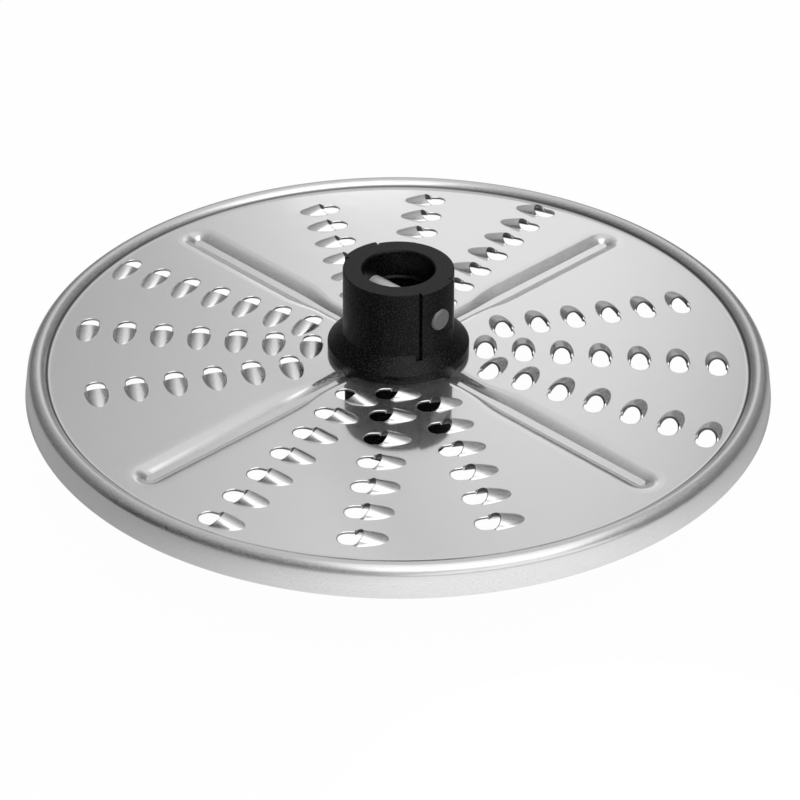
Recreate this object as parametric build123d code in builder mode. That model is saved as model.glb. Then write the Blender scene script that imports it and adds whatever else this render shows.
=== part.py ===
"""Food processor grating disc: pressed steel plate, moulded hub and cross pin.

Millimetres. Z is the axis of rotation and the foot of the hub stands on Z = 0.
Seen from above, the teeth cut clockwise: every opening faces that way.
"""
import os
from math import acos, asin, atan, atan2, cos, degrees, hypot, radians, sin, sqrt

from build123d import *

# Plate
disc_r = 94.8
sheet_t = 0.8
plate_z = 27.0
centre_hole_r = 11.6
bead_r = 91.35
bead_h = 1.8
bead_curve_r = 2.55
bead_foot_round = 0.4
skirt_drop = 5.4

# Pressed grooves, measured on the top of the sheet
groove_count = 4
groove_start = 44.6
groove_in_r = 14.4
groove_out_r = 84.4
groove_w = 8.2
groove_floor_w = 2.4
groove_depth = 1.6

# Teeth: rows of (angle of the row, first radius, count, direction of the tail, lead)
# The lead is how far the front of the hole lies clockwise of the row's line
tooth_rows = (
    (15.0, 28.4, 6, 104.0, 2.8),
    (-7.5, 22.6, 7, 88.0, 2.7),
    (-30.0, 25.9, 7, 67.0, 2.5),
)
tooth_pitch = 9.79
sector_count = 4
tooth_lip = 4.6
tooth_shoulder = 8.4
tooth_tail = 11.5
tooth_axis_drop = 0.6
tooth_lip_r = 2.7
tooth_shoulder_r = 2.2
tooth_tail_r = 0.7
tooth_wall = 0.7
tooth_hole_w = 5.0

# Hub
hub_h = 50.0
sleeve_r = 13.9
flange_r = 18.1
flange_edge_h = 2.3
cone_h = 5.8
collar_foot_r = 14.2
collar_top_r = 13.95
bore_r = 9.0
drive_bore_r = 9.25
drive_bore_h = 36.0
bore_lip = 0.4
foot_chamfer = 0.5
edge_round = 0.4

# Pads and cross pin
pad_r = 14.8
pad_root_r = 12.5
pad_half_angle = 21.5
pin_angle = -45.0
pin_r = 2.8
pin_end = 0.45
pin_z = plate_z + 14.3
pin_chamfer = 0.4

# Slope of the groove sides, and the outside of the trough under the sheet
groove_run = (groove_w - groove_floor_w) / 2
groove_taper = degrees(atan(groove_run / groove_depth))
side_shift = sheet_t * (sqrt(groove_run**2 + groove_depth**2) - groove_run) / groove_depth
groove_len = groove_out_r - groove_in_r
groove_mid_r = (groove_out_r + groove_in_r) / 2
bottom_z = plate_z - sheet_t
pin_plane = Plane(
    origin=(0, 0, pin_z),
    x_dir=(0, 0, 1),
    z_dir=(cos(radians(pin_angle)), sin(radians(pin_angle)), 0),
)


def tooth_places():
    """Leading edge of every tooth, turned so that local X runs to its tail."""
    places = []
    for sector in range(sector_count):
        turn = 360.0 / sector_count * sector
        for row_angle, first_r, count, tail_angle, lead in tooth_rows:
            a = radians(row_angle + turn)
            for k in range(count):
                r = first_r + tooth_pitch * k
                x = r * cos(a) + lead * sin(a)
                y = r * sin(a) - lead * cos(a)
                places.append(Location((x, y, plate_z), (0, 0, tail_angle + turn)))
    return places


# One tooth: the raised bullet, open at the lip
with BuildPart() as dome:
    with BuildSketch(Plane.XZ):
        with BuildLine():
            Polyline(
                (tooth_lip, -tooth_axis_drop),
                (tooth_lip, tooth_lip_r - tooth_axis_drop),
                (tooth_shoulder, tooth_shoulder_r - tooth_axis_drop),
                (tooth_tail, tooth_tail_r - tooth_axis_drop),
                (tooth_tail, -tooth_axis_drop),
                close=True,
            )
        make_face()
    revolve(axis=Axis((0, 0, -tooth_axis_drop), (1, 0, 0)))
    split(bisect_by=Plane.XY.offset(-tooth_axis_drop), keep=Keep.TOP)

# What is taken out of it: the hollow under the bullet and the hole before the lip
with BuildPart() as hollow:
    with BuildSketch(Plane.XZ):
        with BuildLine():
            Polyline(
                (tooth_lip - 1.0, -tooth_axis_drop),
                (tooth_lip - 1.0, tooth_lip_r - tooth_wall - tooth_axis_drop),
                (tooth_lip, tooth_lip_r - tooth_wall - tooth_axis_drop),
                (tooth_shoulder, tooth_shoulder_r - tooth_wall - tooth_axis_drop),
                (tooth_tail - 1.2, -tooth_axis_drop + 0.05),
                (tooth_tail - 1.2, -tooth_axis_drop),
                close=True,
            )
        make_face()
    revolve(axis=Axis((0, 0, -tooth_axis_drop), (1, 0, 0)))
    with BuildSketch(Plane.XY.offset(-2 * sheet_t)):
        with Locations((tooth_hole_w / 2, 0)):
            Circle(tooth_hole_w / 2)
        with Locations(((tooth_hole_w / 2 + tooth_lip) / 2, 0)):
            Rectangle(tooth_lip - tooth_hole_w / 2, tooth_hole_w)
    extrude(amount=3 * sheet_t)

# The rim: a round bead that runs over into a skirt, flared a little; angles as seen in its section
bead_mid_z = plate_z + bead_h - bead_curve_r
bead_under_r = bead_curve_r - sheet_t
skirt_run = disc_r - bead_r
skirt_fall = bead_mid_z - plate_z + skirt_drop
skirt_turn = degrees(acos(bead_curve_r / hypot(skirt_run, skirt_fall)) - atan2(skirt_fall, skirt_run))
foot_turn = 180 - degrees(asin((plate_z - bead_mid_z) / bead_curve_r))
under_turn = 180 - degrees(asin((bottom_z - bead_mid_z) / bead_under_r))
skirt_edge = (disc_r, plate_z - skirt_drop)
skirt_inside = (
    disc_r - sheet_t * cos(radians(skirt_turn)),
    plate_z - skirt_drop - sheet_t * sin(radians(skirt_turn)),
)

# Pressed plate: the section turned round, then grooves and teeth
with BuildPart() as grating_disc:
    with BuildSketch(Plane.XZ) as plate_section:
        with BuildLine():
            bead_mid = (bead_r, bead_mid_z)
            over = CenterArc(bead_mid, bead_curve_r, foot_turn, skirt_turn - foot_turn)
            under = CenterArc(bead_mid, bead_under_r, skirt_turn, under_turn - skirt_turn)
            Polyline(over @ 1, skirt_edge, skirt_inside, under @ 0)
            Polyline(under @ 1, (centre_hole_r, bottom_z), (centre_hole_r, plate_z), over @ 0)
        make_face()
        bead_foot = plate_section.vertices().sort_by_distance(over @ 0)
        fillet(bead_foot[0], bead_foot_round)
    revolve(axis=Axis.Z)
    with BuildSketch(Plane.XY.offset(bottom_z)):
        with PolarLocations(groove_mid_r, groove_count, start_angle=groove_start):
            SlotOverall(groove_len + 2 * side_shift, groove_w + 2 * side_shift)
    extrude(amount=-groove_depth, taper=groove_taper)
    with BuildSketch(Plane.XY.offset(plate_z)):
        with PolarLocations(groove_mid_r, groove_count, start_angle=groove_start):
            SlotOverall(groove_len, groove_w)
    extrude(amount=-groove_depth, taper=groove_taper, mode=Mode.SUBTRACT)
    with Locations(*tooth_places()):
        add(dome.part)
    with Locations(*tooth_places()):
        add(hollow.part, mode=Mode.SUBTRACT)
grating_disc.part.label = "grating_disc"

# Lugs of the hub that fill the inner ends of the grooves
with BuildPart() as lugs:
    with BuildSketch(Plane.XY.offset(plate_z)):
        with PolarLocations(groove_mid_r, groove_count, start_angle=groove_start):
            SlotOverall(groove_len, groove_w)
    extrude(amount=-groove_depth, taper=groove_taper)
    with Locations((0, 0, plate_z)):
        Cylinder(flange_r, 4 * groove_depth, mode=Mode.INTERSECT)

# Moulded hub, gripping the sheet from both sides
with BuildPart() as hub:
    with BuildSketch(Plane.XZ) as hub_section:
        with BuildLine():
            Polyline(
                (drive_bore_r + foot_chamfer, 0),
                (sleeve_r - foot_chamfer, 0),
                (sleeve_r, foot_chamfer),
                (sleeve_r, bottom_z),
                (centre_hole_r, bottom_z),
                (centre_hole_r, plate_z),
                (flange_r, plate_z),
                (flange_r, plate_z + flange_edge_h),
                (collar_foot_r, plate_z + cone_h),
                (collar_top_r, hub_h),
                (bore_r + bore_lip, hub_h),
                (bore_r, hub_h - bore_lip),
                (bore_r, drive_bore_h),
                (drive_bore_r, drive_bore_h),
                (drive_bore_r, foot_chamfer),
                close=True,
            )
        make_face()
        rim = hub_section.vertices().sort_by_distance((flange_r, plate_z + flange_edge_h))
        fillet(rim[0], edge_round)
    revolve(axis=Axis.Z)
    with BuildSketch(Plane.XY.offset(plate_z + flange_edge_h)):
        for middle in (pin_angle, pin_angle + 180):
            with BuildLine():
                face_arc = CenterArc((0, 0), pad_r, middle - pad_half_angle, 2 * pad_half_angle)
                root_arc = CenterArc((0, 0), pad_root_r, middle - pad_half_angle, 2 * pad_half_angle)
                Line(face_arc @ 0, root_arc @ 0)
                Line(face_arc @ 1, root_arc @ 1)
            make_face()
    extrude(amount=hub_h - plate_z - flange_edge_h)
    add(lugs.part)
    with Locations(pin_plane):
        Cylinder(pin_r, 4 * pad_r, mode=Mode.SUBTRACT)
hub.part.label = "hub"

# Cross pin, standing a little out of the pads
with BuildPart() as drive_pin:
    with Locations(pin_plane):
        Cylinder(pin_r, 2 * (pad_r + pin_end))
    ends = drive_pin.edges().filter_by(GeomType.CIRCLE)
    chamfer(ends, pin_chamfer)
drive_pin.part.label = "drive_pin"

os.makedirs("parts", exist_ok=True)
export_step(grating_disc.part, "parts/grating_disc.step")
export_step(hub.part, "parts/hub.step")
export_step(drive_pin.part, "parts/drive_pin.step")
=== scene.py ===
"""Looks of a food processor grating disc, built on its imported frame.

Sizes are written in millimetres and turned into metres when a mesh is made.
"""

from math import acos, asin, atan2, cos, degrees, hypot, pi, radians, sin, sqrt, tan

import bmesh
import bpy
from mathutils import Matrix, Vector
from mathutils.geometry import delaunay_2d_cdt


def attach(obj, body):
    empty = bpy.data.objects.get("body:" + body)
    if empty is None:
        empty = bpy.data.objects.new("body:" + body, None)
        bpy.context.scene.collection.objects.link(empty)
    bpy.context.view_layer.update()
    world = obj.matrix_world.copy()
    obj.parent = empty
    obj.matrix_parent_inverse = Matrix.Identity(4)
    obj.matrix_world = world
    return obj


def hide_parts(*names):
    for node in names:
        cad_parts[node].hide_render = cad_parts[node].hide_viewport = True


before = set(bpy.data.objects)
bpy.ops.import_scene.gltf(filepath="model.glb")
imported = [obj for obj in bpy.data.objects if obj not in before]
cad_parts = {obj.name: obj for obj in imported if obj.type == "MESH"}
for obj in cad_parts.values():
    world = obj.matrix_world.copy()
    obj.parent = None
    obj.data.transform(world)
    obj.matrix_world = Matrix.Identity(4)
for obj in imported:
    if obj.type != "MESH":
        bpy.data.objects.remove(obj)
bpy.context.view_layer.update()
MM = 0.001

# Sheet
PLATE_Z = 27.0
SHEET_T = 0.8
CENTRE_HOLE_R = 11.6
FIELD_R = 87.5
RIM_SEGMENTS = 320
HOLE_SEGMENTS = 72
FIELD_EPSILON = 1e-5
TRIANGLES_INSIDE = 1
SHEET_WELD = 0.001
SHEET_SHARP = 38

# Rim: a round bead that rises steeply from its foot and runs over into a flared skirt
BEAD_R = 91.35
BEAD_H = 1.8
BEAD_CURVE = 2.55
BEAD_FOOT_TILT = 60.0
FOOT_POWER = 5.0
SKIRT_FOOT_R = 94.8
SKIRT_DROP = 5.4
SKIRT_EDGE_IN, SKIRT_EDGE_UP = 0.06, 0.12
SKIRT_INSIDE_IN, SKIRT_INSIDE_UP = 0.05, 0.1
FOOT_STEPS = 12
BEAD_STEPS = 28
BEAD_UNDER_STEPS = 12

# Grooves: centres of the rounded ends, and half widths across the pressing
GROOVE_ANGLES = (44.5, 134.5, 224.5, 314.5)
GROOVE_IN_R = 18.5
GROOVE_OUT_R = 80.1
GROOVE_HALF_W = 4.75
GROOVE_FLOOR_HALF = 1.2
GROOVE_DEPTH = 1.25
GROOVE_CURVE = 1.8
GROOVE_MARGIN = 1.2
GROOVE_MARGIN_SHARES = (1.0, 0.66, 0.33)
GROOVE_DIP = 0.03
GROOVE_NARROW = 0.6
GROOVE_NARROW_R = 27.0
GROOVE_WIDE_R = 39.0
GROOVE_UNDER_WIDEN = 0.3 * SHEET_T
GROOVE_STEPS = 11
GROOVE_SIDE_STEPS = 40
GROOVE_END_STEPS = 12

# Uneven edge of a groove: waves of (height, change with the radius, with the groove's angle, with the side)
GROOVE_WOBBLE = 0.06
GROOVE_WOBBLE_RINGS = range(2, 6)
GROOVE_WAVES = ((1.0, 0.9, 1, 1), (0.7, 2.3, 2, 3), (0.5, 4.1, 0, 1))
RIGHT_SIDE, LEFT_SIDE = 1.0, 2.0

# Teeth: rows of (angle of the row, first radius, count, direction of the tail, lead of the hole's front)
# The third line is the first tooth of the last row, turned to keep clear of the row beside it
TOOTH_PITCH = 9.79
LAST_ROW_R = 25.9
TOOTH_ROWS = (
    (15.0, 28.4, 6, 104.0, 2.8),
    (-7.5, 22.6, 7, 88.0, 2.7),
    (-30.0, LAST_ROW_R, 1, 61.0, 2.5),
    (-30.0, LAST_ROW_R + TOOTH_PITCH, 6, 66.5, 2.5),
)
SECTORS = 4
LIP_U = 4.05
LIP_LEAN = 1.8
LIP_ROUND = 0.14
TAIL_U = 11.5
UNDER_TAIL_GAP = 0.9
TOOTH_HALF_W = 2.65
TOOTH_H = 1.7
TOOTH_WALL = 0.35
PLAN_POWER = 2.6
PLAN_ROUNDING = 0.55
RIDGE_POWER = 1.1
TIP_POWER = 3
HOLE_HALF_W = 2.3
HOLE_END_GAP = 0.2
HOLE_ROLL = 0.2
HOLE_UNDERCUT = 0.4
HOLE_EDGE_T = 0.4
STATIONS = 12
STATION_CROWDING = 1.5
ARC_STEPS = 14
HOLE_FRONT_STEPS = 12
FOOT_ANGLE = radians(15)
TOOTH_WELD = 0.0005
TEETH_TO_SHEET_WELD = 0.002

# Sheet round a tooth: distances from the outline at a side and at a tip, and for the rings a height too
SCOOP_MARGIN = (0.42, 0.12)
HOLE_MARGIN = (0.35, 0.45)
FOOT_RINGS = (
    ((0.34, 0.08, 0.012), (0.2, 0.22, 0.0)),
    ((0.14, 0.04, 0.12), (0.1, 0.11, -0.04)),
)
HOLE_SHOULDER = (0.02, 0.02, -0.11)

# Hub
HUB_H = 50.0
SLEEVE_R = 13.9
SLEEVE_ROUND = 0.5
FLANGE_R = 18.1
FLANGE_EDGE_H = 2.3
FLANGE_FOOT_ROUND = 0.15
FLANGE_ROUND = 0.3
CONE_H = 5.8
COLLAR_FOOT_R = 14.2
COLLAR_TOP_R = 13.95
COLLAR_ROUND = 0.2
BORE_R = 9.0
BORE_LIP = 0.4
BORE_ROUND = 0.08
DRIVE_BORE_R = 9.25
DRIVE_BORE_H = 36.0
DRIVE_BORE_CHAMFER = 0.5
PAD_R = 14.8
PAD_DRAFT = 0.1
PAD_HALF_ANGLE = 21.5
PAD_GAP_ANGLE = 2.2
PAD_GAP_DEPTH = 0.5
PAD_CREASE_Z = PLATE_Z + 10.0
PAD_CREASE_HALF = 0.06
NOTCH_ANGLE = 6.5
NOTCH_R = 15.4
LEDGE_R = 8.6
LEDGE_Z = 42.4
LEDGE_RISE = 0.5
LEDGE_EDGE = 0.4
HUB_STEP = 2.0
HUB_EDGE_CLEAR = 0.7
HUB_EDGE_HALF = 0.06
HUB_CORNER_STEPS = 4
HUB_WELD = 0.002
HUB_SHARP = 32

# Lugs of the hub in the grooves
LUG_STEPS = 16
LUG_LENGTH = 3.0
LUG_TOP = 0.6
LUG_GAP = 0.02

# Cross pin
PIN_ANGLE = -45.0
PIN_R = 2.8
PIN_HALF_LEN = 15.25
PIN_Z = PLATE_Z + 14.3
PIN_CHAMFER = 0.4
PIN_EDGE_ROUND = 0.06
PIN_AXIS_R = 0.001
PIN_HOLE_GAP = 0.08
DRILL_CHAMFER = 0.3
PIN_SEGMENTS = 120
PIN_CORNER_STEPS = 3
PIN_WELD = 0.004
PIN_SHARP = 30

# Grain shared by all finishes
GRAIN_DETAIL = 3.0
GRAIN_ROUGHNESS = 0.6
SPECK_CONTRAST = 22.0
SPECK_MIDDLE = 0.5

# Finish of the sheet, with painted shade: grain as (size, threshold), roughness as (least, most), rings of
# painted shade as fades in and out
STEEL_COLOUR = (0.78, 0.78, 0.785, 1)
STEEL_GRAIN = (0.1, 0.56)
STEEL_ROUGHNESS = (0.07, 0.55)
# Painted shade: the base colour is darker in the crease at the bead's foot, where shade falls
CREASE_SHADE_RING = ((88.3, 88.9), (89.0, 89.4))
# Painted shade: the bead and skirt get a darker tone, standing in for the darker reflections that the
# lights give them
BEAD_SHADE_RING = ((89.4, 90.2), (93.2, 94.0))
# Tones: the cut faces keep their own dark finish; the lip's rounded edge, the crease and the bead get
# darker tones as painted shade
MARK_TONES = (("cut_and_lip_shade", 0.2), ("crease_shade", 0.2), ("bead", 0.71))
MARK_DULLNESS = (("cut_and_lip_shade", 0.4), ("drawn", 0.12), ("crease_shade", 0.3), ("bead", 0.04))
UNEVEN_PER_M = 85.0
UNEVEN_H = 0.02

# Finish of the hub and the pin: tones as (ground, grain) and (side, end)
HUB_TONES = (0.0005, 0.017)
HUB_GRAIN = (0.4, 0.55)
HUB_GRAIN_H = 0.1
HUB_ROUGHNESS = 0.27
HUB_SPECULAR = 0.19
PIN_TONES = (0.92, 0.32)
PIN_END_FADE = (14.84, 14.88)
PIN_GRAIN = (0.12, 0.5)
PIN_ROUGHNESS = (0.65, 0.8)

# Floor: what reflections see of it, a painted pool of light with a painted shadow under the disc, as ramps
# (from, to, value at from, value at to) over metres
FLOOR_REACH = 4000.0
FLOOR_TONE = 0.9
FLOOR_ROUGHNESS = 0.9
FLOOR_GLOW = 0.98
POOL_MIDDLE = (0.05, -0.16, 0.0)
POOL_RAMP = (0.03, 0.2, 1.1, 0.42)
SHADOW_RAMP = (0.075, 0.1, 0.1, 1.0)

# Studio: each form is the product of its ramps (measure, from, to, value at from, value at to)
BACKDROP = (
    ("rising_edge", -0.26, 0.05, 0.12, 1.05),
    ("x", -0.9, -0.3, 0.3, 1.0),
    ("x", 0.08, 0.3, 1.0, 0.3),
    ("y", 0.4, 0.75, 0.0, 1.0),
    ("z", 0.3, 0.45, 0.42, 1.0),
    ("z", 0.47, 0.63, 1.0, 0.75),
)
LOW_STRIP = (
    ("x", -0.08, -0.05, 0.0, 1.0),
    ("x", 0.0, 0.03, 1.0, 0.0),
    ("y", 0.4, 0.75, 0.0, 1.0),
    ("z", 0.438, 0.446, 0.0, 1.0),
    ("z", 0.4605, 0.4625, 1.4, 0.0),
)
FRONT_LOW = (
    ("z", -0.05, 0.5, 0.55, 0.1),
    ("x", -0.75, 0.0, 0.6, 1.0),
    ("y", -0.6, -0.1, 1.0, 0.0),
)
CARD = (("to_card", 0.74, 0.92, 0.0, 1.2),)
PANEL = (
    ("left_edge", -0.27, -0.13, 0.0, 1.0),
    ("slant", 0.62, 0.76, 1.0, 0.0),
    ("ahead", -1.5, -0.95, 0.12, 1.0),
    ("ahead", -0.4, -0.05, 1.9, 1.5),
    ("ahead", 0.2, 0.48, 1.0, 0.48),
    ("ahead", 0.82, 1.08, 1.0, 0.0),
    ("z", 0.3, 0.4, 0.0, 1.0),
)
LEFT_WALL_REST = (("ahead", -0.3, 0.3, 0.03, 0.15),)
RIGHT_WALL_REST = 0.17
LEFT_WALL_GLOW, RIGHT_WALL_GLOW = 0.66, 0.77
LEFT_WALL_START, RIGHT_WALL_START = -0.05, 0.6
LEFT_WALL_HALVING, RIGHT_WALL_HALVING = 0.35, 0.22
PANEL_SLANT = 0.55
PANEL_LEFT_LEAN = -0.2
BACKDROP_EDGE_Z = 0.53
BACKDROP_EDGE_LEAN = 0.4
CARD_X, CARD_Y = 0.53, -0.85
LEAST_UP = 0.02

# Camera, fitted to the teeth and the rim in the photo
PHOTO_PX = 800
FOCAL_PX = 1913.5
SENSOR_W = 36.0
CLIP_START = 10.0
CAMERA_DISTANCE = 469.07
CAMERA_ELEVATION = radians(33.4235)
CAMERA_ROLL = radians(0.195)
CAMERA_TARGET = (0.469, -24.89, PLATE_Z)

# Sockets that have no name of their own: a mix of colours, a mix of values, and a multiply-add
COLOUR_LOW, COLOUR_HIGH, COLOUR_OUT = 6, 7, 2
VALUE_LOW, VALUE_HIGH = 2, 3
FACTOR_IN, ADDED_IN = 1, 2

# A face counts as level from this share of its normal on
LEVEL = 0.999999


def rotated(x, y, angle):
    """Point of a plane turned about its origin by an angle in radians."""
    return (x * cos(angle) - y * sin(angle), x * sin(angle) + y * cos(angle))


def polar(radius, angle_deg, z=0.0):
    a = radians(angle_deg)
    return (radius * cos(a), radius * sin(a), z)


def smooth_step(low, high, x):
    t = min(max((x - low) / (high - low), 0.0), 1.0)
    return t * t * (3 - 2 * t)


class Shell:
    """Points and faces of one mesh, gathered in millimetres."""

    def __init__(self):
        self.points = []
        self.faces = []
        self.marks = {}

    def add(self, points):
        first = len(self.points)
        self.points.extend(points)
        return list(range(first, len(self.points)))

    def bridge(self, ring_a, ring_b, closed=True):
        """Quads between two rows of points of equal length."""
        count = len(ring_a)
        for i in range(count if closed else count - 1):
            j = (i + 1) % count
            self.faces.append((ring_a[i], ring_a[j], ring_b[j], ring_b[i]))

    def object(self, name, merge=0.0):
        mesh = bpy.data.meshes.new(name)
        mesh.from_pydata([tuple(c * MM for c in p) for p in self.points], [], self.faces)
        for mark, marked in self.marks.items():
            layer = mesh.attributes.new(mark, "FLOAT", "FACE")
            for index in marked:
                layer.data[index].value = 1.0
        if merge:
            clean_mesh(mesh, merge)
        piece = bpy.data.objects.new(name, mesh)
        bpy.context.scene.collection.objects.link(piece)
        return piece


def clean_mesh(mesh, merge):
    """Welds doubles and turns every face outwards."""
    bm = bmesh.new()
    bm.from_mesh(mesh)
    bmesh.ops.remove_doubles(bm, verts=bm.verts, dist=merge * MM)
    bmesh.ops.dissolve_degenerate(bm, edges=bm.edges, dist=1e-7)
    loose = [edge for edge in bm.edges if not edge.link_faces]
    bmesh.ops.delete(bm, geom=loose, context="EDGES")
    bmesh.ops.recalc_face_normals(bm, faces=bm.faces)
    bm.to_mesh(mesh)
    bm.free()


def shade(mesh, sharp_deg):
    """Smooth shading but for level faces, which stay truly flat."""
    mesh.set_sharp_from_angle(angle=radians(sharp_deg))
    for face in mesh.polygons:
        if abs(face.normal.z) > LEVEL:
            face.use_smooth = False


def rounded_path(corners, steps):
    """Corner points of (x, y, radius) joined by lines, each corner turned by an arc."""
    path = []
    for i, (x, y, radius) in enumerate(corners):
        if radius == 0:
            path.append((x, y))
            continue
        here = Vector((x, y))
        to_last = (Vector(corners[i - 1][:2]) - here).normalized()
        to_next = (Vector(corners[i + 1][:2]) - here).normalized()
        half = to_last.angle(to_next) / 2
        centre = here + (to_last + to_next).normalized() * (radius / sin(half))
        start = here + to_last * (radius / tan(half)) - centre
        turn = start.angle_signed(here + to_next * (radius / tan(half)) - centre)
        for k in range(steps + 1):
            spun = rotated(start.x, start.y, -turn * k / steps)
            path.append(tuple(centre + Vector(spun)))
    return path


def tooth_places():
    """Leading edge of every tooth and the angle that its tail points to."""
    places = []
    for sector in range(SECTORS):
        turn = 360.0 / SECTORS * sector
        for row_angle, first_r, count, tail_angle, lead in TOOTH_ROWS:
            a = radians(row_angle + turn)
            for k in range(count):
                x, y = rotated(first_r + TOOTH_PITCH * k, -lead, a)
                places.append((x, y, radians(tail_angle + turn)))
    return places


def tooth_stations(half_w, height, tail_u):
    """Sections of the scoop from lip to tail: place, half width, height and share of the way.

    The first one is the rounded edge of the lip, which turns in a little.
    """
    sections = [(LIP_U - LIP_ROUND, half_w - LIP_ROUND, height - LIP_ROUND, 0.0)]
    for k in range(STATIONS + 1):
        s = 1 - (1 - k / STATIONS) ** STATION_CROWDING
        width = half_w * (1 - s**PLAN_POWER) ** PLAN_ROUNDING
        rise = height * (1 - s**RIDGE_POWER)
        sections.append((LIP_U + (tail_u - LIP_U) * s, width, rise, s))
    return sections


def tooth_outline():
    """Foot of the scoop and edge of its hole, counter-clockwise from the lip's right corner.

    Each point is (u, v, closeness to a tip, whether it belongs to the scoop).
    """
    sections = tooth_stations(TOOTH_HALF_W, TOOTH_H, TAIL_U)
    right = [(u, -w, s**TIP_POWER, True) for u, w, _, s in sections]
    left = [(u, -v, tip, True) for u, v, tip, _ in reversed(right[:-1])]
    hole_ends = (LIP_U - LIP_ROUND - HOLE_END_GAP, (LIP_U + HOLE_HALF_W) / 2)
    front = [(u, HOLE_HALF_W, 0.0, False) for u in hole_ends]
    for k in range(HOLE_FRONT_STEPS + 1):
        a = radians(90 + 180 * k / HOLE_FRONT_STEPS)
        front.append((HOLE_HALF_W * (1 + cos(a)), HOLE_HALF_W * sin(a), cos(a) ** 2, False))
    front += [(u, -HOLE_HALF_W, 0.0, False) for u in reversed(hole_ends)]
    return right + left + front


def offset_ring(outline, scoop, hole):
    """The outline moved outwards; scoop and hole give the distance at a side, at a tip, and the height."""
    ring = []
    count = len(outline)
    for i, (u, v, tip, on_scoop) in enumerate(outline):
        last = outline[i - 1]
        following = outline[(i + 1) % count]
        along = Vector((following[0] - last[0], following[1] - last[1])).normalized()
        if not on_scoop and tip == 0:
            along = Vector((-1.0 if v > 0 else 1.0, 0.0))
        if on_scoop and u <= LIP_U:
            along = Vector((1.0 if v < 0 else -1.0, 0.0))
        at_side, at_tip, z = scoop if on_scoop else hole
        distance = at_side + (at_tip - at_side) * tip
        if on_scoop and z > 0:
            z *= 1 - tip
        ring.append((u + along.y * distance, v - along.x * distance, z))
    return ring


def tooth_border(outline, z):
    """Outermost ring of a tooth, which lies on the flat sheet."""
    return offset_ring(outline, (*SCOOP_MARGIN, z), (*HOLE_MARGIN, z))


def scoop_grid(shell, half_w, height, floor_z, tail_u, foot_angle):
    """Arched sections from lip to tail; the last one is the tail's single point.

    Every section is a half ellipse; towards its middle it leans back from the lip.
    """
    rows = []
    sections = tooth_stations(half_w, height - floor_z, tail_u)
    for u, w, h, s in sections[:-1]:
        row = []
        for j in range(ARC_STEPS + 1):
            a = foot_angle + (pi - 2 * foot_angle) * j / ARC_STEPS
            row.append((u + LIP_LEAN * (1 - s) * sin(a), -w * cos(a), floor_z + h * sin(a)))
        rows.append(shell.add(row))
    tip = shell.add([(tail_u, 0, floor_z)])[0]
    for low, high in zip(rows, rows[1:]):
        shell.bridge(low, high, closed=False)
    for j in range(ARC_STEPS):
        shell.faces.append((rows[-1][j], rows[-1][j + 1], tip))
    return rows, tip


def inner_loop(rows, tip, front):
    """Loop of points where the flat sheet meets a scoop and the edge of its hole."""
    right = [row[0] for row in rows]
    left = [row[-1] for row in reversed(rows)]
    return right + [tip] + left + front


def tooth_form():
    """One scoop with its hole and both faces of the sheet round it.

    X runs from the leading edge of the hole to the tail, Z up from the face of the sheet.
    """
    shell = Shell()
    outline = tooth_outline()
    hole = [p for p in outline if not p[3]]

    def hole_ring(at_side, at_tip, z):
        ring = offset_ring(outline, (0, 0, z), (at_side, at_tip, z))
        return [p for p, q in zip(ring, outline) if not q[3]]

    rings = [shell.add(tooth_border(outline, 0.0))]
    for at_scoop, at_hole in FOOT_RINGS:
        rings.append(shell.add(offset_ring(outline, at_scoop, at_hole)))
    first_drawn = len(shell.faces)
    rows, tip = scoop_grid(shell, TOOTH_HALF_W, TOOTH_H, 0.0, TAIL_U, FOOT_ANGLE)
    shell.marks["drawn"] = range(first_drawn, len(shell.faces))
    shoulder = shell.add(hole_ring(*HOLE_SHOULDER))
    edge = shell.add([(u, v, -HOLE_ROLL) for u, v, _, _ in hole])
    rings.append(inner_loop(rows, tip, shoulder))
    for outer, inner in zip(rings, rings[1:]):
        shell.bridge(outer, inner)
    under_outer = shell.add(tooth_border(outline, -SHEET_T))
    under_rows, under_tip = scoop_grid(
        shell, TOOTH_HALF_W - TOOTH_WALL, TOOTH_H - TOOTH_WALL, -SHEET_T, TAIL_U - UNDER_TAIL_GAP, 0.0
    )
    under_edge = shell.add(hole_ring(HOLE_UNDERCUT / 2, HOLE_UNDERCUT, -HOLE_EDGE_T))
    under_inner = inner_loop(under_rows, under_tip, under_edge)
    shell.bridge(under_outer, under_inner)
    first_cut = len(shell.faces)
    shell.bridge(rows[0], under_rows[0], closed=False)
    # The lip's rounded edge takes the dark tone of the cut faces as painted shade, a dark line along the
    # lip
    lip_edge = range(first_drawn, first_drawn + ARC_STEPS)
    shell.marks["cut_and_lip_shade"] = [*lip_edge, *range(first_cut, len(shell.faces))]
    lip_left, lip_right = rows[0][-1], rows[0][0]
    wall_top = [lip_left] + shoulder + [lip_right]
    wall_middle = [lip_left] + edge + [lip_right]
    wall_foot = [under_rows[0][-1]] + under_edge + [under_rows[0][0]]
    shell.bridge(wall_top, wall_middle, closed=False)
    shell.bridge(wall_middle, wall_foot, closed=False)
    return shell.object("tooth_form", merge=TOOTH_WELD)


def groove_height(across):
    """Height of the groove's upper face at a distance from its middle line."""
    t = (GROOVE_HALF_W - abs(across)) / (GROOVE_HALF_W - GROOVE_FLOOR_HALF)
    return -GROOVE_DIP - GROOVE_DEPTH * min(max(t, 0.0), 1.0) ** GROOVE_CURVE


def groove_profile():
    """Half section of the pressing as (distance from its middle, height), from the sheet inwards."""
    path = []
    for share in GROOVE_MARGIN_SHARES:
        path.append((GROOVE_HALF_W + share * GROOVE_MARGIN, -GROOVE_DIP * (1 - share)))
    for k in range(GROOVE_STEPS + 1):
        across = GROOVE_HALF_W + (GROOVE_FLOOR_HALF - GROOVE_HALF_W) * k / GROOVE_STEPS
        path.append((across, groove_height(across)))
    return path


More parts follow.
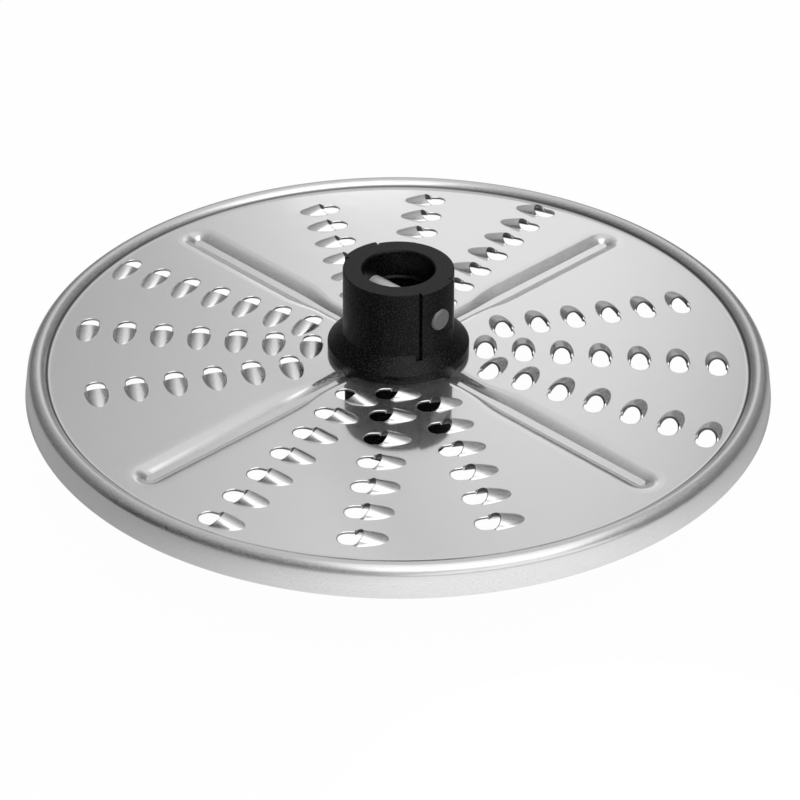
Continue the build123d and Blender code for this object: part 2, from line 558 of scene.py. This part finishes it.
def stadium(half_w, z, angle, wobble=0.0):
    """Closed loop round a groove at one distance from its middle line."""
    loop = []

    def reach(r, side):
        wave = 0.0
        for height, by_radius, by_angle, by_side in GROOVE_WAVES:
            wave += height * sin(r * by_radius + by_angle * angle + by_side * side)
        widen = GROOVE_NARROW + (1 - GROOVE_NARROW) * smooth_step(GROOVE_NARROW_R, GROOVE_WIDE_R, r)
        return half_w * widen + wobble * wave

    for k in range(GROOVE_SIDE_STEPS):
        r = GROOVE_IN_R + (GROOVE_OUT_R - GROOVE_IN_R) * k / GROOVE_SIDE_STEPS
        loop.append((r, -reach(r, RIGHT_SIDE)))
    for k in range(GROOVE_END_STEPS):
        a = -pi / 2 + pi * k / GROOVE_END_STEPS
        loop.append((GROOVE_OUT_R + half_w * cos(a), half_w * sin(a)))
    for k in range(GROOVE_SIDE_STEPS):
        r = GROOVE_OUT_R + (GROOVE_IN_R - GROOVE_OUT_R) * k / GROOVE_SIDE_STEPS
        loop.append((r, reach(r, LEFT_SIDE)))
    for k in range(GROOVE_END_STEPS):
        a = pi / 2 + pi * k / GROOVE_END_STEPS
        loop.append((GROOVE_IN_R + half_w * cos(a), GROOVE_NARROW * half_w * sin(a)))
    return [(*rotated(x, y, radians(angle)), z) for x, y in loop]


def add_groove(shell, angle):
    """Both faces of one pressed groove; its outer loop lies on the flat sheet."""
    profile = groove_profile()
    for under in (False, True):
        rings = []
        for k, (half_w, z) in enumerate(profile):
            widen = GROOVE_UNDER_WIDEN if under and k > 0 else 0.0
            wobble = GROOVE_WOBBLE if k in GROOVE_WOBBLE_RINGS and not under else 0.0
            height = PLATE_Z + z - SHEET_T * under
            rings.append(shell.add(stadium(half_w + widen, height, angle, wobble)))
        for outer, inner in zip(rings, rings[1:]):
            shell.bridge(outer, inner)
        shell.faces.append(tuple(rings[-1]))


def arc(centre_r, centre_z, radius, start_deg, end_deg, steps):
    """Points of a section along a circle."""
    points = []
    for k in range(steps + 1):
        a = radians(start_deg + (end_deg - start_deg) * k / steps)
        points.append((centre_r + radius * cos(a), centre_z + radius * sin(a)))
    return points


def rim_section():
    """Section of the bead and skirt, from the flat sheet out along the top and back underneath."""
    mid_z = BEAD_H - BEAD_CURVE
    bead_start = 90 + BEAD_FOOT_TILT
    foot_r = BEAD_R + BEAD_CURVE * cos(radians(bead_start))
    foot_z = mid_z + BEAD_CURVE * sin(radians(bead_start))
    run, fall = SKIRT_FOOT_R - BEAD_R, SKIRT_DROP + mid_z
    flare = degrees(acos(BEAD_CURVE / hypot(run, fall)) - atan2(fall, run))
    end_r, end_z = SHEET_T * cos(radians(flare)), SHEET_T * sin(radians(flare))
    top = []
    for k in range(FOOT_STEPS):
        share = k / FOOT_STEPS
        top.append((FIELD_R + (foot_r - FIELD_R) * share, foot_z * share**FOOT_POWER))
    top += arc(BEAD_R, mid_z, BEAD_CURVE, bead_start, flare, BEAD_STEPS)
    top.append((SKIRT_FOOT_R - SKIRT_EDGE_IN / 2, SKIRT_EDGE_UP - SKIRT_DROP))
    top.append((SKIRT_FOOT_R - SKIRT_EDGE_IN, -SKIRT_DROP))
    inside_r, inside_z = SKIRT_FOOT_R - end_r, -SKIRT_DROP - end_z
    under = [(inside_r + SKIRT_INSIDE_IN, inside_z), (inside_r, inside_z + SKIRT_INSIDE_UP)]
    under_foot = 180 - degrees(asin((-SHEET_T - mid_z) / (BEAD_CURVE - SHEET_T)))
    under += arc(BEAD_R, mid_z, BEAD_CURVE - SHEET_T, flare, under_foot, BEAD_UNDER_STEPS)
    return top + under + [(FIELD_R, -SHEET_T)]


def circle(radius, z, count):
    return [polar(radius, 360.0 * k / count, z) for k in range(count)]


def add_rim(shell):
    """Bead and skirt, turned round the axis."""
    rings = [shell.add(circle(r, PLATE_Z + z, RIM_SEGMENTS)) for r, z in rim_section()]
    first_drawn = len(shell.faces)
    for inner, outer in zip(rings, rings[1:]):
        shell.bridge(inner, outer)
    shell.marks["drawn"] = range(first_drawn, len(shell.faces))


def add_field(shell):
    """Flat faces of the sheet between rim, hub, grooves and teeth, top and underneath."""
    loops = [circle(FIELD_R, 0, RIM_SEGMENTS), circle(CENTRE_HOLE_R, 0, HOLE_SEGMENTS)]
    loops += [stadium(groove_profile()[0][0], 0, angle) for angle in GROOVE_ANGLES]
    border = tooth_border(tooth_outline(), 0.0)
    for x, y, turn in tooth_places():
        around = [rotated(u, v, turn) for u, v, _ in border]
        loops.append([(x + u, y + v) for u, v in around])
    points = []
    edges = []
    outlines = []
    for loop in loops:
        first = len(points)
        points.extend(Vector(p[:2]) for p in loop)
        outlines.append(list(range(first, len(points))))
        edges.extend((first + k, first + (k + 1) % len(loop)) for k in range(len(loop)))
    flat, _, triangles, _, _, owners = delaunay_2d_cdt(
        points, edges, outlines, TRIANGLES_INSIDE, FIELD_EPSILON
    )
    kept = [face for face, owner in zip(triangles, owners) if set(owner) == {0}]
    for z, flipped in ((PLATE_Z, False), (PLATE_Z - SHEET_T, True)):
        ids = shell.add([(p.x, p.y, z) for p in flat])
        for face in kept:
            corners = [ids[k] for k in face]
            shell.faces.append(tuple(reversed(corners)) if flipped else tuple(corners))
    top = shell.add(circle(CENTRE_HOLE_R, PLATE_Z, HOLE_SEGMENTS))
    shell.bridge(top, shell.add(circle(CENTRE_HOLE_R, PLATE_Z - SHEET_T, HOLE_SEGMENTS)))


def places_object():
    """Points at the leading edges, each with the turn of its tooth."""
    mesh = bpy.data.meshes.new("tooth_places")
    places = tooth_places()
    mesh.from_pydata([(x * MM, y * MM, PLATE_Z * MM) for x, y, _ in places], [], [])
    turns = mesh.attributes.new("turn", "FLOAT", "POINT")
    for item, (_, _, turn) in zip(turns.data, places):
        item.value = turn
    holder = bpy.data.objects.new("tooth_places", mesh)
    bpy.context.scene.collection.objects.link(holder)
    return holder


def teeth_tree():
    """Sets a tooth form on every place and welds the forms into the sheet."""
    tree = bpy.data.node_groups.new("teeth_on_sheet", "GeometryNodeTree")
    ports = tree.interface
    ports.new_socket("Sheet", in_out="INPUT", socket_type="NodeSocketGeometry")
    ports.new_socket("Tooth form", in_out="INPUT", socket_type="NodeSocketObject")
    ports.new_socket("Places", in_out="INPUT", socket_type="NodeSocketObject")
    weld = ports.new_socket("Weld distance", in_out="INPUT", socket_type="NodeSocketFloat")
    weld.default_value = TEETH_TO_SHEET_WELD * MM
    ports.new_socket("Steel", in_out="INPUT", socket_type="NodeSocketMaterial")
    ports.new_socket("Sheet", in_out="OUTPUT", socket_type="NodeSocketGeometry")
    node = {}
    for key, kind in (
        ("in", "NodeGroupInput"),
        ("form", "GeometryNodeObjectInfo"),
        ("places", "GeometryNodeObjectInfo"),
        ("turn", "GeometryNodeInputNamedAttribute"),
        ("spin", "ShaderNodeCombineXYZ"),
        ("set", "GeometryNodeInstanceOnPoints"),
        ("join", "GeometryNodeJoinGeometry"),
        ("real", "GeometryNodeRealizeInstances"),
        ("weld", "GeometryNodeMergeByDistance"),
        ("paint", "GeometryNodeSetMaterial"),
        ("out", "NodeGroupOutput"),
    ):
        node[key] = tree.nodes.new(kind)
    node["turn"].data_type = "FLOAT"
    node["turn"].inputs["Name"].default_value = "turn"
    links = (
        ("in", "Tooth form", "form", "Object"),
        ("in", "Places", "places", "Object"),
        ("turn", "Attribute", "spin", "Z"),
        ("places", "Geometry", "set", "Points"),
        ("form", "Geometry", "set", "Instance"),
        ("spin", "Vector", "set", "Rotation"),
        ("set", "Instances", "join", "Geometry"),
        ("in", "Sheet", "join", "Geometry"),
        ("join", "Geometry", "real", "Geometry"),
        ("real", "Geometry", "weld", "Geometry"),
        ("in", "Weld distance", "weld", "Distance"),
        ("weld", "Geometry", "paint", "Geometry"),
        ("in", "Steel", "paint", "Material"),
        ("paint", "Geometry", "out", "Sheet"),
    )
    for source, out_name, target, in_name in links:
        tree.links.new(node[source].outputs[out_name], node[target].inputs[in_name])
    return tree


def set_inputs(modifier, values):
    """Sets a tree's named inputs by the identifiers of their sockets."""
    for item in modifier.node_group.interface.items_tree:
        if item.in_out == "INPUT" and item.name in values:
            modifier[item.identifier] = values[item.name]


def settle(piece):
    """Turns what the modifiers make of a piece into its own plain mesh."""
    graph = bpy.context.evaluated_depsgraph_get()
    plain = bpy.data.meshes.new_from_object(piece.evaluated_get(graph))
    piece.modifiers.clear()
    piece.data = plain
    return plain


def grating_disc(steel):
    """The pressed sheet with its rim, grooves and teeth."""
    shell = Shell()
    add_field(shell)
    add_rim(shell)
    for angle in GROOVE_ANGLES:
        add_groove(shell, angle)
    sheet = shell.object("pressed_sheet")
    form = tooth_form()
    places = places_object()
    teeth = sheet.modifiers.new("teeth", "NODES")
    teeth.node_group = teeth_tree()
    set_inputs(teeth, {"Tooth form": form, "Places": places, "Steel": steel})
    mesh = settle(sheet)
    for spare in (form, places):
        bpy.data.objects.remove(spare)
    clean_mesh(mesh, SHEET_WELD)
    shade(mesh, SHEET_SHARP)
    return sheet


def turned_solid(shell, section, angles):
    """Closed body of revolution whose section may change with the angle."""
    rings = []
    for angle in angles:
        rings.append(shell.add([polar(r, angle, z) for r, z in section(angle)]))
    for last, here in zip(rings, rings[1:] + rings[:1]):
        shell.bridge(last, here)


def from_pad(angle):
    """Signed angle from the middle of the nearer of the two pads round the pin."""
    return (angle - PIN_ANGLE + 90) % 180 - 90


def cone_height(r):
    """Height of the flange's sloping top at a radius."""
    slope = (CONE_H - FLANGE_EDGE_H) / (FLANGE_R - COLLAR_FOOT_R)
    return PLATE_Z + CONE_H - slope * (r - COLLAR_FOOT_R)


def hub_section(angle):
    """Section of the hub at one angle, from the foot up the outside and down the bore."""
    away = from_pad(angle)
    on_pad = abs(away) <= PAD_HALF_ANGLE
    notched = -PAD_HALF_ANGLE - NOTCH_ANGLE <= away < -PAD_HALF_ANGLE
    foot_r, top_r = COLLAR_FOOT_R, COLLAR_TOP_R
    if on_pad:
        foot_r, top_r = PAD_R + PAD_DRAFT, PAD_R
    elif abs(away) <= PAD_HALF_ANGLE + PAD_GAP_ANGLE:
        foot_r, top_r = COLLAR_FOOT_R - PAD_GAP_DEPTH, COLLAR_TOP_R - PAD_GAP_DEPTH
    middle_r = (foot_r + top_r) / 2
    crease_low, crease_high = (foot_r, top_r) if on_pad else (middle_r, middle_r)
    foot_z = cone_height(NOTCH_R) if notched else cone_height(foot_r)
    return rounded_path(
        [
            (DRIVE_BORE_R + DRIVE_BORE_CHAMFER, 0, 0),
            (SLEEVE_R, 0, SLEEVE_ROUND),
            (SLEEVE_R, PLATE_Z - SHEET_T, 0),
            (CENTRE_HOLE_R, PLATE_Z - SHEET_T, 0),
            (CENTRE_HOLE_R, PLATE_Z, 0),
            (FLANGE_R, PLATE_Z, FLANGE_FOOT_ROUND),
            (FLANGE_R, PLATE_Z + FLANGE_EDGE_H, FLANGE_ROUND),
            (NOTCH_R, cone_height(NOTCH_R), 0),
            (foot_r, foot_z, COLLAR_ROUND),
            (crease_low, PAD_CREASE_Z - PAD_CREASE_HALF, 0),
            (crease_high, PAD_CREASE_Z + PAD_CREASE_HALF, 0),
            (top_r, HUB_H, COLLAR_ROUND),
            (BORE_R + BORE_LIP, HUB_H, BORE_ROUND),
            (BORE_R, HUB_H - BORE_LIP, BORE_ROUND),
            (BORE_R, LEDGE_Z + LEDGE_RISE, 0),
            (LEDGE_R, LEDGE_Z, 0),
            (LEDGE_R, LEDGE_Z - LEDGE_EDGE, 0),
            (BORE_R, LEDGE_Z - 2 * LEDGE_EDGE, 0),
            (BORE_R, DRIVE_BORE_H, 0),
            (DRIVE_BORE_R, DRIVE_BORE_H, 0),
            (DRIVE_BORE_R, DRIVE_BORE_CHAMFER, 0),
        ],
        steps=HUB_CORNER_STEPS,
    )


def hub_angles():
    """Even steps round the hub, with close pairs of sections at every edge of pad, gap and notch."""
    gap_end = PAD_HALF_ANGLE + PAD_GAP_ANGLE
    notch_end = -PAD_HALF_ANGLE - NOTCH_ANGLE
    edges = [-PAD_HALF_ANGLE, PAD_HALF_ANGLE, -gap_end, gap_end, notch_end]
    angles = []
    for k in range(int(360 / HUB_STEP)):
        angle = HUB_STEP * k
        if min(abs(from_pad(angle) - edge) for edge in edges) > HUB_EDGE_CLEAR:
            angles.append(angle)
    for middle in (PIN_ANGLE, PIN_ANGLE + 180):
        for edge in edges:
            angles.append((middle + edge - HUB_EDGE_HALF) % 360)
            angles.append((middle + edge + HUB_EDGE_HALF) % 360)
    return sorted(angles)


def add_lug(shell, angle):
    """Part of the flange that fills the inner end of a groove."""
    rows = [[], [], [], []]
    for k in range(LUG_STEPS + 1):
        across = GROOVE_HALF_W * (2 * k / LUG_STEPS - 1)
        v = GROOVE_NARROW * across
        inside = FLANGE_R - LUG_LENGTH
        outside = sqrt(FLANGE_R**2 - v**2) - LUG_GAP
        under = groove_height(across) - LUG_GAP
        corners = ((inside, LUG_TOP), (outside, LUG_TOP), (outside, under), (inside, under))
        for row, (r, z) in zip(rows, corners):
            row.append((*rotated(r, v, radians(angle)), PLATE_Z + z))
    ids = [shell.add(row) for row in rows]
    for low, high in zip(ids, ids[1:] + ids[:1]):
        shell.bridge(low, high, closed=False)
    for k in (0, LUG_STEPS):
        shell.faces.append(tuple(row[k] for row in ids))


def pin_matrix():
    """Turns a body made about Z so that it lies along the pin's axis."""
    along = Vector(polar(1, PIN_ANGLE))
    place = along.to_track_quat("Z", "Y").to_matrix().to_4x4()
    return Matrix.Translation(Vector((0, 0, PIN_Z)) * MM) @ place


def pin_shape(radius, half_len, chamfer, name):
    """Round bar with chamfered ends, lying where the pin lies."""
    shell = Shell()
    section = rounded_path(
        [
            (PIN_AXIS_R, -half_len, 0),
            (radius - chamfer, -half_len, PIN_EDGE_ROUND),
            (radius, -half_len + chamfer, PIN_EDGE_ROUND),
            (radius, half_len - chamfer, PIN_EDGE_ROUND),
            (radius - chamfer, half_len, PIN_EDGE_ROUND),
            (PIN_AXIS_R, half_len, 0),
        ],
        steps=PIN_CORNER_STEPS,
    )
    angles = [360.0 / PIN_SEGMENTS * k for k in range(PIN_SEGMENTS)]
    turned_solid(shell, lambda angle: section, angles)
    piece = shell.object(name, merge=PIN_WELD)
    piece.data.transform(pin_matrix())
    return piece


def hub(plastic):
    """The moulding with its pads, the hole for the pin and the lugs in the grooves."""
    shell = Shell()
    turned_solid(shell, hub_section, hub_angles())
    body = shell.object("moulded_hub", merge=HUB_WELD)
    drill = pin_shape(PIN_R + PIN_HOLE_GAP, 2 * PAD_R, DRILL_CHAMFER, "pin_drill")
    cut = body.modifiers.new("pin_hole", "BOOLEAN")
    cut.operation = "DIFFERENCE"
    cut.solver = "EXACT"
    cut.object = drill
    settle(body)
    bpy.data.objects.remove(drill)
    lugs = Shell()
    for angle in GROOVE_ANGLES:
        add_lug(lugs, angle)
    filler = lugs.object("groove_lugs", merge=HUB_WELD)
    bm = bmesh.new()
    bm.from_mesh(body.data)
    bm.from_mesh(filler.data)
    bm.to_mesh(body.data)
    bm.free()
    bpy.data.objects.remove(filler)
    body.data.materials.clear()
    body.data.materials.append(plastic)
    shade(body.data, HUB_SHARP)
    return body


def drive_pin(steel):
    """The cross pin through the collar."""
    piece = pin_shape(PIN_R, PIN_HALF_LEN, PIN_CHAMFER, "cross_pin")
    piece.data.materials.append(steel)
    shade(piece.data, PIN_SHARP)
    return piece


def grey(tone):
    return (tone, tone, tone, 1)


def new_material(name):
    """Material with its node tree and its shader."""
    material = bpy.data.materials.new(name)
    material.use_nodes = True
    tree = material.node_tree
    return material, tree, tree.nodes["Principled BSDF"]


def add_node(tree, kind, **values):
    """New node whose settings and input defaults are given by name."""
    node = tree.nodes.new(kind)
    for key, value in values.items():
        if hasattr(node, key):
            setattr(node, key, value)
        else:
            node.inputs[key.replace("_", " ")].default_value = value
    return node


def smooth_ramp(tree, source, low, high, at_low, at_high):
    """Value that goes smoothly from at_low to at_high while the source goes from low to high."""
    node = add_node(tree, "ShaderNodeMapRange", interpolation_type="SMOOTHSTEP",
                    From_Min=low, From_Max=high, To_Min=at_low, To_Max=at_high)
    tree.links.new(source, node.inputs["Value"])
    return node.outputs["Result"]


def combine(tree, operation, *sources):
    """Sockets and plain numbers taken together, two at a time, by one operation."""
    result = sources[0]
    for source in sources[1:]:
        node = add_node(tree, "ShaderNodeMath", operation=operation)
        for socket, value in zip(node.inputs, (result, source)):
            if isinstance(value, float):
                socket.default_value = value
            else:
                tree.links.new(value, socket)
        result = node.outputs[0]
    return result


def mix_colours(tree, factor, low, high):
    """Colour that goes from low to high with a factor; low may be the output of another mix."""
    node = tree.nodes.new("ShaderNodeMix")
    node.data_type = "RGBA"
    if isinstance(low, tuple):
        node.inputs[COLOUR_LOW].default_value = low
    else:
        tree.links.new(low, node.inputs[COLOUR_LOW])
    node.inputs[COLOUR_HIGH].default_value = high
    tree.links.new(factor, node.inputs[0])
    return node.outputs[COLOUR_OUT]


def grain_group():
    """Fine grain shared by the metals and the moulding: a height and a speckle mask."""
    tree = bpy.data.node_groups.new("fine_grain", "ShaderNodeTree")
    for name, direction, kind in (
        ("Vector", "INPUT", "NodeSocketVector"),
        ("Grain size", "INPUT", "NodeSocketFloat"),
        ("Threshold", "INPUT", "NodeSocketFloat"),
        ("Height", "OUTPUT", "NodeSocketFloat"),
        ("Speckle", "OUTPUT", "NodeSocketFloat"),
    ):
        tree.interface.new_socket(name, in_out=direction, socket_type=kind)
    source = tree.nodes.new("NodeGroupInput")
    target = tree.nodes.new("NodeGroupOutput")
    noise = add_node(tree, "ShaderNodeTexNoise", Detail=GRAIN_DETAIL, Roughness=GRAIN_ROUGHNESS)
    per_metre = combine(tree, "DIVIDE", 1.0, source.outputs["Grain size"])
    above = combine(tree, "SUBTRACT", noise.outputs["Fac"], source.outputs["Threshold"])
    sharpen = add_node(tree, "ShaderNodeMath", operation="MULTIPLY_ADD", use_clamp=True)
    sharpen.inputs[FACTOR_IN].default_value = SPECK_CONTRAST
    sharpen.inputs[ADDED_IN].default_value = SPECK_MIDDLE
    tree.links.new(source.outputs["Vector"], noise.inputs["Vector"])
    tree.links.new(per_metre, noise.inputs["Scale"])
    tree.links.new(above, sharpen.inputs[0])
    tree.links.new(noise.outputs["Fac"], target.inputs["Height"])
    tree.links.new(sharpen.outputs[0], target.inputs["Speckle"])
    return tree


def add_grain(tree, group, size_mm, threshold):
    """The shared grain in one material, on the piece's own coordinates."""
    node = tree.nodes.new("ShaderNodeGroup")
    node.node_tree = group
    place = tree.nodes.new("ShaderNodeTexCoord")
    tree.links.new(place.outputs["Object"], node.inputs["Vector"])
    node.inputs["Grain size"].default_value = size_mm * MM
    node.inputs["Threshold"].default_value = threshold
    return node


def from_axis_ramp(tree, low_mm, high_mm, at_low, at_high):
    """Value that changes with the distance from the disc's axis."""
    place = tree.nodes.new("ShaderNodeTexCoord")
    split = tree.nodes.new("ShaderNodeSeparateXYZ")
    level = tree.nodes.new("ShaderNodeCombineXYZ")
    distance = add_node(tree, "ShaderNodeVectorMath", operation="LENGTH")
    tree.links.new(place.outputs["Object"], split.inputs[0])
    tree.links.new(split.outputs["X"], level.inputs["X"])
    tree.links.new(split.outputs["Y"], level.inputs["Y"])
    tree.links.new(level.outputs[0], distance.inputs[0])
    return smooth_ramp(tree, distance.outputs["Value"], low_mm * MM, high_mm * MM, at_low, at_high)


def ring_mask(tree, fade_in, fade_out):
    """1 on a ring about the axis, 0 elsewhere; each fade is a pair of radii in millimetres."""
    inner = from_axis_ramp(tree, *fade_in, 0.0, 1.0)
    outer = from_axis_ramp(tree, *fade_out, 1.0, 0.0)
    return combine(tree, "MULTIPLY", inner, outer)


def grain_roughness(tree, group, grain, span):
    """Roughness that goes with the specks of the grain from the least to the most."""
    specks = add_grain(tree, group, *grain)
    rough = add_node(tree, "ShaderNodeMapRange", To_Min=span[0], To_Max=span[1])
    tree.links.new(specks.outputs["Speckle"], rough.inputs["Value"])
    return rough.outputs["Result"]


def sheet_steel(grain):
    """Pressed stainless sheet: mirror-like between fine dull specks, dull where it was drawn or cut, with
    painted shade that darkens the lip's rounded edge, the crease at the bead's foot and the bead.
    """
    material, tree, shader = new_material("pressed_stainless")
    shader.inputs["Metallic"].default_value = 1.0
    # Ring masks of painted shade: a darker crease at the bead's foot, and a darker bead and skirt
    masks = {"crease_shade": ring_mask(tree, *CREASE_SHADE_RING), "bead": ring_mask(tree, *BEAD_SHADE_RING)}
    for mark in ("cut_and_lip_shade", "drawn"):
        masks[mark] = add_node(tree, "ShaderNodeAttribute", attribute_name=mark).outputs["Fac"]
    colour = STEEL_COLOUR
    for mark, tone in MARK_TONES:
        colour = mix_colours(tree, masks[mark], colour, grey(tone))
    tree.links.new(colour, shader.inputs["Base Color"])
    dull = grain_roughness(tree, grain, STEEL_GRAIN, STEEL_ROUGHNESS)
    for mark, more in MARK_DULLNESS:
        added = add_node(tree, "ShaderNodeMath", operation="MULTIPLY_ADD", use_clamp=True)
        added.inputs[FACTOR_IN].default_value = more
        tree.links.new(masks[mark], added.inputs[0])
        tree.links.new(dull, added.inputs[ADDED_IN])
        dull = added.outputs[0]
    tree.links.new(dull, shader.inputs["Roughness"])
    place = tree.nodes.new("ShaderNodeTexCoord")
    waves = add_node(tree, "ShaderNodeTexNoise", Scale=UNEVEN_PER_M, Detail=1.0)
    tree.links.new(place.outputs["Object"], waves.inputs["Vector"])
    uneven = add_node(tree, "ShaderNodeBump", Strength=1.0, Distance=UNEVEN_H * MM)
    tree.links.new(waves.outputs["Fac"], uneven.inputs["Height"])
    tree.links.new(uneven.outputs["Normal"], shader.inputs["Normal"])
    return material


def hub_plastic(grain):
    """Black moulding with a fine pale grain."""
    material, tree, shader = new_material("black_moulding")
    shader.inputs["Specular IOR Level"].default_value = HUB_SPECULAR
    shader.inputs["Roughness"].default_value = HUB_ROUGHNESS
    specks = add_grain(tree, grain, *HUB_GRAIN)
    ground, pale = HUB_TONES
    colour = mix_colours(tree, specks.outputs["Speckle"], grey(ground), grey(pale))
    tree.links.new(colour, shader.inputs["Base Color"])
    bump = add_node(tree, "ShaderNodeBump", Strength=1.0, Distance=HUB_GRAIN_H * MM)
    tree.links.new(specks.outputs["Height"], bump.inputs["Height"])
    tree.links.new(bump.outputs["Normal"], shader.inputs["Normal"])
    return material


def pin_steel(grain):
    """Ground steel of the cross pin, darker at its ends."""
    material, tree, shader = new_material("ground_steel")
    shader.inputs["Metallic"].default_value = 1.0
    side, end = PIN_TONES
    at_end = from_axis_ramp(tree, *PIN_END_FADE, 0.0, 1.0)
    tree.links.new(mix_colours(tree, at_end, grey(side), grey(end)), shader.inputs["Base Color"])
    tree.links.new(grain_roughness(tree, grain, PIN_GRAIN, PIN_ROUGHNESS), shader.inputs["Roughness"])
    return material


def add_floor():
    """White for the camera; in reflections a painted pool of light, with a painted shadow that makes it
    dark under the disc, and faint far off.
    """
    shell = Shell()
    far = FLOOR_REACH
    corners = shell.add([(-far, -far, 0), (far, -far, 0), (far, far, 0), (-far, far, 0)])
    shell.faces.append(tuple(corners))
    floor = shell.object("floor")
    material, tree, shader = new_material("pale_floor")
    shader.inputs["Base Color"].default_value = grey(FLOOR_TONE)
    shader.inputs["Roughness"].default_value = FLOOR_ROUGHNESS
    place = tree.nodes.new("ShaderNodeTexCoord")
    path = tree.nodes.new("ShaderNodeLightPath")
    camera_ray = path.outputs["Is Camera Ray"]

    def distance_from(point):
        node = add_node(tree, "ShaderNodeVectorMath", operation="DISTANCE")
        node.inputs[1].default_value = point
        tree.links.new(place.outputs["Object"], node.inputs[0])
        return node.outputs["Value"]

    # Painted light: a glowing pool on the floor, with the disc's shadow painted dark under it
    pool = smooth_ramp(tree, distance_from(POOL_MIDDLE), *POOL_RAMP)
    shadow = smooth_ramp(tree, distance_from((0.0, 0.0, 0.0)), *SHADOW_RAMP)
    lit = combine(tree, "MULTIPLY", pool, shadow)
    glow = add_node(tree, "ShaderNodeEmission")
    tree.links.new(combine(tree, "MAXIMUM", lit, camera_ray), glow.inputs["Strength"])
    seen = combine(tree, "MAXIMUM", camera_ray, path.outputs["Is Glossy Ray"])
    mix = tree.nodes.new("ShaderNodeMixShader")
    tree.links.new(combine(tree, "MULTIPLY", seen, FLOOR_GLOW), mix.inputs["Fac"])
    tree.links.new(shader.outputs["BSDF"], mix.inputs[1])
    tree.links.new(glow.outputs[0], mix.inputs[2])
    tree.links.new(mix.outputs[0], tree.nodes["Material Output"].inputs["Surface"])
    floor.data.materials.append(material)


def add_world():
    """White for the camera; for light and reflections a studio with a panel overhead and dark sides."""
    world = bpy.data.worlds.new("studio")
    bpy.context.scene.world = world
    world.use_nodes = True
    tree = world.node_tree
    sky = tree.nodes["Background"]
    sky.inputs["Color"].default_value = grey(1.0)
    place = tree.nodes.new("ShaderNodeTexCoord")
    split = tree.nodes.new("ShaderNodeSeparateXYZ")
    tree.links.new(place.outputs["Generated"], split.inputs[0])

    def join(operation, *sources):
        return combine(tree, operation, *sources)

    x, y, z = (split.outputs[axis] for axis in "XYZ")
    up = join("MAXIMUM", z, LEAST_UP)
    across = join("DIVIDE", x, up)
    ahead = join("DIVIDE", y, up)
    slant = join("ADD", across, join("MULTIPLY", ahead, PANEL_SLANT))
    edge_lean = join("MULTIPLY", join("SUBTRACT", BACKDROP_EDGE_Z, z), BACKDROP_EDGE_LEAN)
    left_lean = join("MULTIPLY", join("MAXIMUM", ahead, 0.0), PANEL_LEFT_LEAN)
    measures = {
        "x": x,
        "y": y,
        "z": z,
        "ahead": ahead,
        "slant": slant,
        "rising_edge": join("ADD", x, edge_lean),
        "left_edge": join("ADD", across, left_lean),
        "to_card": join("ADD", join("MULTIPLY", x, CARD_X), join("MULTIPLY", y, CARD_Y)),
    }

    def form(ramps):
        return join("MULTIPLY", *(smooth_ramp(tree, measures[name], *span) for name, *span in ramps))

    past_left = join("MAXIMUM", join("SUBTRACT", LEFT_WALL_START, across), 0.0)
    past_right = join("MAXIMUM", join("SUBTRACT", slant, RIGHT_WALL_START), 0.0)
    left_fade = join("POWER", 0.5, join("DIVIDE", past_left, LEFT_WALL_HALVING))
    right_fade = join("POWER", 0.5, join("DIVIDE", past_right, RIGHT_WALL_HALVING))
    left_wall = join("ADD", join("MULTIPLY", left_fade, LEFT_WALL_GLOW), form(LEFT_WALL_REST))
    right_wall = join("ADD", join("MULTIPLY", right_fade, RIGHT_WALL_GLOW), RIGHT_WALL_REST)
    wall = join("MINIMUM", left_wall, right_wall)
    lights = [form(ramps) for ramps in (BACKDROP, LOW_STRIP, FRONT_LOW, CARD, PANEL)]
    path = tree.nodes.new("ShaderNodeLightPath")
    strength = tree.nodes.new("ShaderNodeMix")
    strength.data_type = "FLOAT"
    strength.inputs[VALUE_HIGH].default_value = 1.0
    tree.links.new(path.outputs["Is Camera Ray"], strength.inputs[0])
    tree.links.new(join("MAXIMUM", wall, *lights), strength.inputs[VALUE_LOW])
    tree.links.new(strength.outputs[0], sky.inputs["Strength"])


def add_camera():
    """Camera where the photo was taken from."""
    lens = bpy.data.cameras.new("camera")
    lens.sensor_width = SENSOR_W
    lens.lens = FOCAL_PX * SENSOR_W / PHOTO_PX
    lens.clip_start = CLIP_START * MM
    camera = bpy.data.objects.new("camera", lens)
    back = Vector((0, -cos(CAMERA_ELEVATION), sin(CAMERA_ELEVATION)))
    place = (Vector(CAMERA_TARGET) + CAMERA_DISTANCE * back) * MM
    tilt = Matrix.Rotation(pi / 2 - CAMERA_ELEVATION, 4, "X") @ Matrix.Rotation(CAMERA_ROLL, 4, "Z")
    camera.matrix_world = Matrix.Translation(place) @ tilt
    bpy.context.scene.collection.objects.link(camera)
    bpy.context.scene.camera = camera


def main():
    grain = grain_group()
    sheet = grating_disc(sheet_steel(grain))
    moulding = hub(hub_plastic(grain))
    pin = drive_pin(pin_steel(grain))
    for piece, node, slot in (
        (sheet, "grating_disc", "plate_steel"),
        (moulding, "hub", "hub_plastic"),
        (pin, "drive_pin", "pin_steel"),
    ):
        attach(piece, "root")
        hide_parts(node)
    add_floor()
    add_world()
    add_camera()
    bpy.context.scene.view_settings.view_transform = "Standard"


main()
